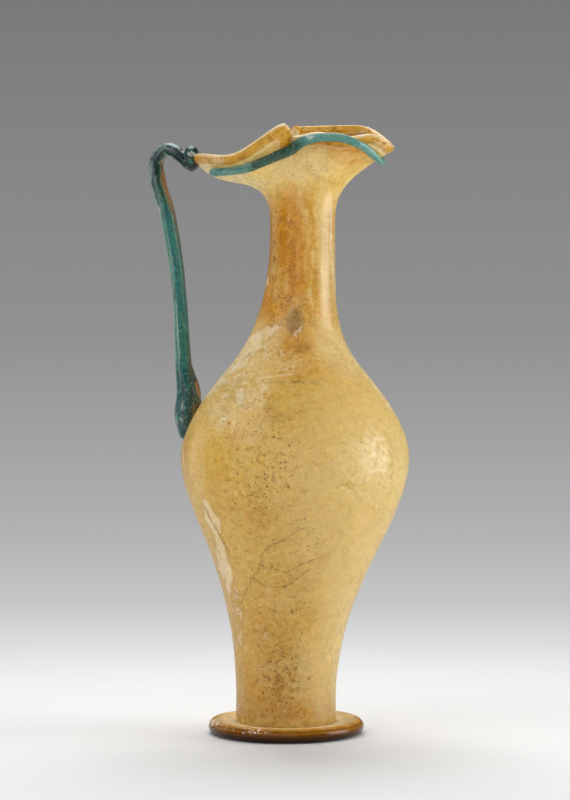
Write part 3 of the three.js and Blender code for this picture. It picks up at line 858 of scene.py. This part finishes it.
def skin_cover(f, m):
    """How much of the clear glass the skin hides."""
    cover = f.scaled(m.middle, 0.35, 0.65, COVER - COVER_SWING, COVER + COVER_SWING)
    cover = cover + m.crust * 0.4 + m.stain * 0.3 + m.pits * 0.5
    inner = f.painted("inner_skin") * (1 - m.lip)
    return cover * (1 - inner * (1 - INNER_COVER))


def skin_light(f, m):
    """Light that the skin lets through, golden in the deep amber, its painted shade and the lip, and
    how much of it.
    """
    pale = f.node("ShaderNodeBsdfTranslucent", {}, {"Color": tone(255, 250, 210)})
    golden = f.node("ShaderNodeBsdfTranslucent", {}, {"Color": tone(240, 186, 36)})
    light = f.mixed(f.sum("MAXIMUM", m.deep, m.lip), pale, golden)
    solid = f.sum("MAXIMUM", m.pits * 0.8, m.lip * 0.6)
    solid = f.sum("MAXIMUM", solid, m.stain * 0.6 + m.crust * 0.5)
    worn = f.scaled(m.flakes, 0.34, 0.66, 0.5, 1.3) * f.scaled(m.fine, 0.3, 0.7, 0.7, 1.2)
    return light, (1 - solid * 0.85) * (1 + m.glow * 0.7) * worn * LIT_THROUGH


def body_finish():
    """Clear glass under a weathered skin that hides most of it and lets some light through."""
    material, f = new_finish("amber_glass")
    m = body_marks(f)
    base = ground(f, m)
    for layer in (flaked, grained, stained_and_shaded, crusted, pitted, lined, lipped):
        base = layer(f, m, base)
    bumps = m.fine * 0.6 + m.middle * 0.9 - m.pits * 0.8 + m.crust * m.ragged * 1.4 - m.lines * 0.5
    relief = f.relief(bumps * (1 + m.glitter * 1.5), 0.0002)
    skin = f.node("ShaderNodeBsdfPrincipled", {}, {
        "Base Color": base,
        "Roughness": f.scaled(m.fine, 0.2, 0.8, 0.24, 0.4) + m.crust * 0.22 + m.stain * 0.1,
        "Normal": relief,
        "Subsurface Weight": 0.1,
        "Subsurface Radius": (1, 0.6, 0.2),
        "Subsurface Scale": 0.0012,
        "Specular IOR Level": 0.3,
        "Coat Weight": 0.36,
        "Coat Roughness": 0.13,
        "Sheen Weight": 0.05,
        "Sheen Roughness": 0.3,
        "Sheen Tint": tone(255, 236, 200),
    })
    clear = f.node("ShaderNodeBsdfPrincipled", {}, {
        "Base Color": tone(255, 214, 118),
        "Roughness": 0.16,
        "Normal": relief,
        "Transmission Weight": 1,
        "IOR": 1.5,
    })
    light, thinness = skin_light(f, m)
    surface = f.mixed(skin_cover(f, m), clear, f.mixed(thinness, skin, light))
    f.node("ShaderNodeOutputMaterial", {}, {"Surface": surface})
    return material


# Finish of the foot: deep brown where the glass is thick, honey where it thins, banded by which way its
# edge faces, with painted shade underneath and painted light on top

def foot_finish():
    material, f = new_finish("brown_glass")
    place = f.place()
    radius = f.length(f.stretched(place, (1, 1, 0)))
    height = f.height(place)
    wave = (f.cloud(place, 0.012, 3) - 0.5) * 0.0012
    profile = f.sum("ARCTAN2", height - 0.0029 + wave, radius - 0.0275)
    # Bands by which way the edge faces: the near-black underside is painted shade and the pale top
    # painted light, over the brown of the glass
    base = f.ramp(f.scaled(profile, -1.6, 2.2, 0, 1), [
        (0.00, tone(30, 14, 0)),
        (0.26, tone(40, 18, 0)),
        (0.36, tone(60, 30, 0)),
        (0.46, tone(96, 56, 4)),
        (0.52, tone(142, 92, 20)),
        (0.57, tone(116, 72, 14)),
        (0.62, tone(156, 108, 40)),
        (0.68, tone(184, 126, 34)),
        (0.76, tone(206, 160, 84)),
        (0.88, tone(222, 194, 140)),
    ])
    mottle = f.cloud(place, 0.0035, 4)
    base = f.shade(base, f.scaled(mottle, 0.3, 0.7, 0.8, 1.2))
    crust_cloud = f.cloud(place, 0.0026, 4, 0.65)
    crust = f.rise(f.painted("pale_crust") + (crust_cloud - 0.5) * 1.2, 0.5, 0.85)
    base = f.blend(crust * 0.8, base, tone(216, 204, 184))
    sparkle = f.rise(f.chance(place, 0.0006), 0.88, 0.92) * f.painted("glints")
    base = f.blend(sparkle, base, tone(250, 246, 232))
    bumps = mottle * 0.8 + crust * crust_cloud
    glass(f, {
        "Base Color": base,
        "Roughness": f.scaled(crust_cloud, 0.2, 0.8, 0.14, 0.26) + crust * 0.3,
        "Normal": f.relief(bumps, 0.00012),
        "Subsurface Weight": 0.15,
        "Subsurface Radius": (1, 0.6, 0.2),
        "Subsurface Scale": 0.004,
        "Specular IOR Level": 0.2,
        "Coat Weight": 0.03,
        "Coat Roughness": 0.1,
    })
    return material


# Finish of the handle: blue-green glass in bands along the strap, with painted highlights on its ribs
# and painted shade in its grooves, chalky outside, brown inside

def worn_teal(f, base, along, crust_tone):
    """Mottles, streaks, grain and pale crust over a ground colour, the crust map also carrying painted
    highlights, and the glass under them.
    """
    place = f.place()
    mottle = f.cloud(place, 0.0022, 5, 0.7)
    streaks = f.cloud(along, 0.0014, 4, 0.65)
    speckle = f.cloud(place, 0.0009, 3, 0.7)
    base = f.blend(f.rise(mottle, 0.52, 0.66) * 0.4, base, tone(62, 148, 132))
    base = f.blend(f.rise(mottle, 0.46, 0.34) * 0.55, base, tone(4, 42, 46))
    base = f.blend(f.rise(streaks, 0.54, 0.68) * 0.4, base, tone(98, 160, 138))
    base = f.blend(f.rise(streaks, 0.44, 0.32) * 0.5, base, tone(6, 40, 42))
    base = f.shade(base, f.scaled(speckle, 0.3, 0.7, 0.72, 1.26))
    flecks = f.rise(f.chance(f.warped(place, 0.001, 0.0007), 0.0005), 0.92, 0.95)
    base = f.blend(flecks * 0.3, base, tone(176, 188, 160))
    ragged = f.cloud(along, 0.0024, 5, 0.7)
    crust = f.rise(f.painted("pale_crust") * 0.8 + (ragged - 0.5) * 2.6, 0.6, 1.05)
    base = f.blend(crust * 0.8, base, crust_tone)
    bumps = streaks * 0.8 + speckle * 0.5 + mottle * 0.5 + crust * ragged * 1.4
    glass(f, {
        "Base Color": base,
        "Roughness": f.scaled(speckle, 0.25, 0.75, 0.26, 0.44) + crust * 0.25,
        "Normal": f.relief(bumps, 0.00018),
        "Subsurface Weight": 0.08,
        "Subsurface Radius": (0.4, 1, 0.8),
        "Subsurface Scale": 0.002,
        "Coat Weight": 0.2,
        "Coat Roughness": 0.15,
    })


def handle_finish():
    material, f = new_finish("teal_glass")
    place = f.place()
    strap = f.painted("strap_place", "Vector")
    outward = f.part(strap, "X")
    travel = f.part(strap, "Z")
    along = f.stretched(strap, (1, 1, 0.12))
    wobble = (f.cloud(along, 0.003, 3) - 0.5) * 0.0018
    across = f.scaled(outward + wobble, -0.0028, 0.0028, 0, 1)
    # Bands across the strap: its colours, painted highlights on the ridges and painted shade in the
    # grooves
    strap_bands_and_shading = f.ramp(across, [
        (0.04, tone(110, 104, 76)),
        (0.14, tone(20, 120, 112)),
        (0.30, tone(0, 122, 118)),
        (0.56, tone(0, 98, 98)),
        (0.64, tone(6, 58, 58)),
        (0.70, tone(150, 176, 158)),
        (0.76, tone(84, 128, 110)),
        (0.90, tone(74, 132, 116)),
        (1.00, tone(124, 168, 150)),
    ])
    # Bands across the loop, with the same painted highlights and shade
    loop_bands_and_shading = f.ramp(across, [
        (0.09, tone(184, 112, 56)),
        (0.17, tone(152, 110, 68)),
        (0.22, tone(104, 140, 104)),
        (0.28, tone(4, 58, 60)),
        (0.50, tone(4, 48, 52)),
        (0.60, tone(30, 54, 62)),
        (0.70, tone(84, 80, 92)),
        (0.80, tone(18, 36, 40)),
        (0.88, tone(64, 98, 94)),
        (1.00, tone(104, 134, 124)),
    ])
    pad = f.rise(travel, 0.034, 0.018)
    base = f.blend(f.rise(travel + wobble * 4, 0.08, 0.104), strap_bands_and_shading, loop_bands_and_shading)
    base = f.blend(f.rise(travel, 0.119, 0.123), base, tone(0, 32, 34))
    base = f.blend(pad * 0.9, base, tone(10, 62, 66))
    ragged = f.cloud(place, 0.003, 4, 0.65)
    amber = f.rise(f.painted("brown_glow") + (ragged - 0.5) * 0.8, 0.35, 0.75)
    base = f.blend(amber * 0.8, base, tone(172, 116, 50))
    worn_teal(f, base, along, tone(196, 200, 188))
    return material


# Finish of the trail: painted shade in the hollow under the lobe, paler round the spout

def trail_finish():
    material, f = new_finish("pale_teal_glass")
    place = f.place()
    along = f.stretched(place, (0.12, 0.3, 1.5))
    hollow = f.rise(f.painted("hollow"), 0.1, 0.9)
    base = f.blend(f.rise(f.cloud(place, 0.012, 3), 0.35, 0.7), tone(80, 138, 130), tone(104, 152, 130))
    # Painted shade under the lobe
    base = f.blend(hollow * 0.9, base, tone(10, 46, 26))
    worn_teal(f, base, along, tone(196, 212, 194))
    return material


body.data.materials.append(body_finish())
foot.data.materials.append(foot_finish())
handle.data.materials.append(handle_finish())
trail.data.materials.append(trail_finish())


# Floor of grey paper, which thins out into the backdrop

FLOOR_RADIUS = 0.62
FLOOR_FULL = 0.15
FLOOR_GONE = 0.4
FLOOR_FORWARD = 0.1
bpy.ops.object.select_all(action="DESELECT")
bpy.ops.mesh.primitive_circle_add(vertices=96, radius=FLOOR_RADIUS, fill_type="NGON")
floor = bpy.context.object
floor.name = "floor"
material, f = new_finish("floor_paper")
from_front = f.moved(f.place(), AWAY * FLOOR_FORWARD)
paper = f.node("ShaderNodeBsdfPrincipled", {}, {
    "Base Color": grey(217),
    "Roughness": 0.9,
    "Specular IOR Level": 0.1,
    "Alpha": f.rise(f.length(from_front), FLOOR_GONE, FLOOR_FULL),
})
f.node("ShaderNodeOutputMaterial", {}, {"Surface": paper})
floor.data.materials.append(material)


# Backdrop: white at the floor and grey above, by how far the eye looks up

SLOPE_LOW = -0.16
SLOPE_HIGH = 0.08
AMBIENT = 0.38
DARK_ROOM = 0.12
world = bpy.context.scene.world or bpy.data.worlds.new("studio")
bpy.context.scene.world = world
world.use_nodes = True
w = Finish(world.node_tree)
toward = w.node("ShaderNodeTexCoord", {}, {}, "Generated")
slope = w.scaled(w.height(toward), SLOPE_LOW, SLOPE_HIGH, 0, 1)
backdrop = w.ramp(slope, [
    (0.05, grey(240)),
    (0.12, grey(227)),
    (0.19, grey(197)),
    (0.295, grey(176)),
    (0.415, grey(161)),
    (0.549, grey(145)),
    (0.83, grey(131)),
    (1.00, grey(121)),
])
seen = w.node("ShaderNodeBackground", {}, {"Color": backdrop, "Strength": 1})
ambient = w.node("ShaderNodeBackground", {}, {"Color": (1, 1, 1, 1), "Strength": AMBIENT})

# What the glass mirrors: the backdrop behind, and a dark room on the camera's side
behind = w.rise(w.along(toward, AWAY), -0.2, 0.6)
room = w.shade(backdrop, w.scaled(behind, 0, 1, DARK_ROOM, 0.65))
mirrored = w.node("ShaderNodeBackground", {}, {"Color": room, "Strength": 1})
camera_ray = w.node("ShaderNodeLightPath", {}, {}, "Is Camera Ray")
glossy_ray = w.node("ShaderNodeLightPath", {}, {}, "Is Glossy Ray")
through_ray = w.node("ShaderNodeLightPath", {}, {}, "Is Transmission Ray")
looked_at = w.sum("MAXIMUM", camera_ray, through_ray)
surroundings = w.mixed(looked_at, w.mixed(glossy_ray, ambient, mirrored), seen)
w.node("ShaderNodeOutputWorld", {}, {"Surface": surroundings})


# Soft lamps

JUG_MIDDLE = Vector((0, 0, 0.12))


def softbox(name, right, toward, up, wide, tall, power):
    """A lamp placed from the jug's middle by the picture's own directions, turned to face it."""
    lamp = bpy.data.lights.new(name, "AREA")
    lamp.shape = "RECTANGLE"
    lamp.size = wide
    lamp.size_y = tall
    lamp.energy = power
    holder = bpy.data.objects.new(name, lamp)
    bpy.context.scene.collection.objects.link(holder)
    holder.location = JUG_MIDDLE + RIGHTWARD * right - AWAY * toward + UP * up
    facing = JUG_MIDDLE - holder.location
    holder.rotation_euler = facing.to_track_quat("-Z", "Y").to_euler()


softbox("overhead", -0.03, -0.5, 0.95, 0.8, 0.7, 10)
softbox("right_side", 0.8, 0.06, 0.06, 0.5, 0.6, 6.2)
softbox("left_side", -0.8, -0.4, 0.0, 0.5, 0.7, 1)
softbox("left_high", -0.6, 0.35, 0.62, 0.5, 0.5, 1.8)
softbox("left_front", -0.5, 1.2, 0.32, 1.8, 1.6, 8)


# Camera

camera = bpy.data.cameras.new("view")
camera.lens = CAMERA_LENS
camera.sensor_fit = "VERTICAL"
camera.sensor_height = SENSOR_TALL
camera_holder = bpy.data.objects.new("view", camera)
bpy.context.scene.collection.objects.link(camera_holder)
camera_holder.location = CAMERA_PLACE
camera_holder.rotation_euler = (math.radians(90) - VIEW_TIP, 0, VIEW_TURN)
bpy.context.scene.camera = camera_holder
bpy.context.scene.view_settings.view_transform = "Standard"
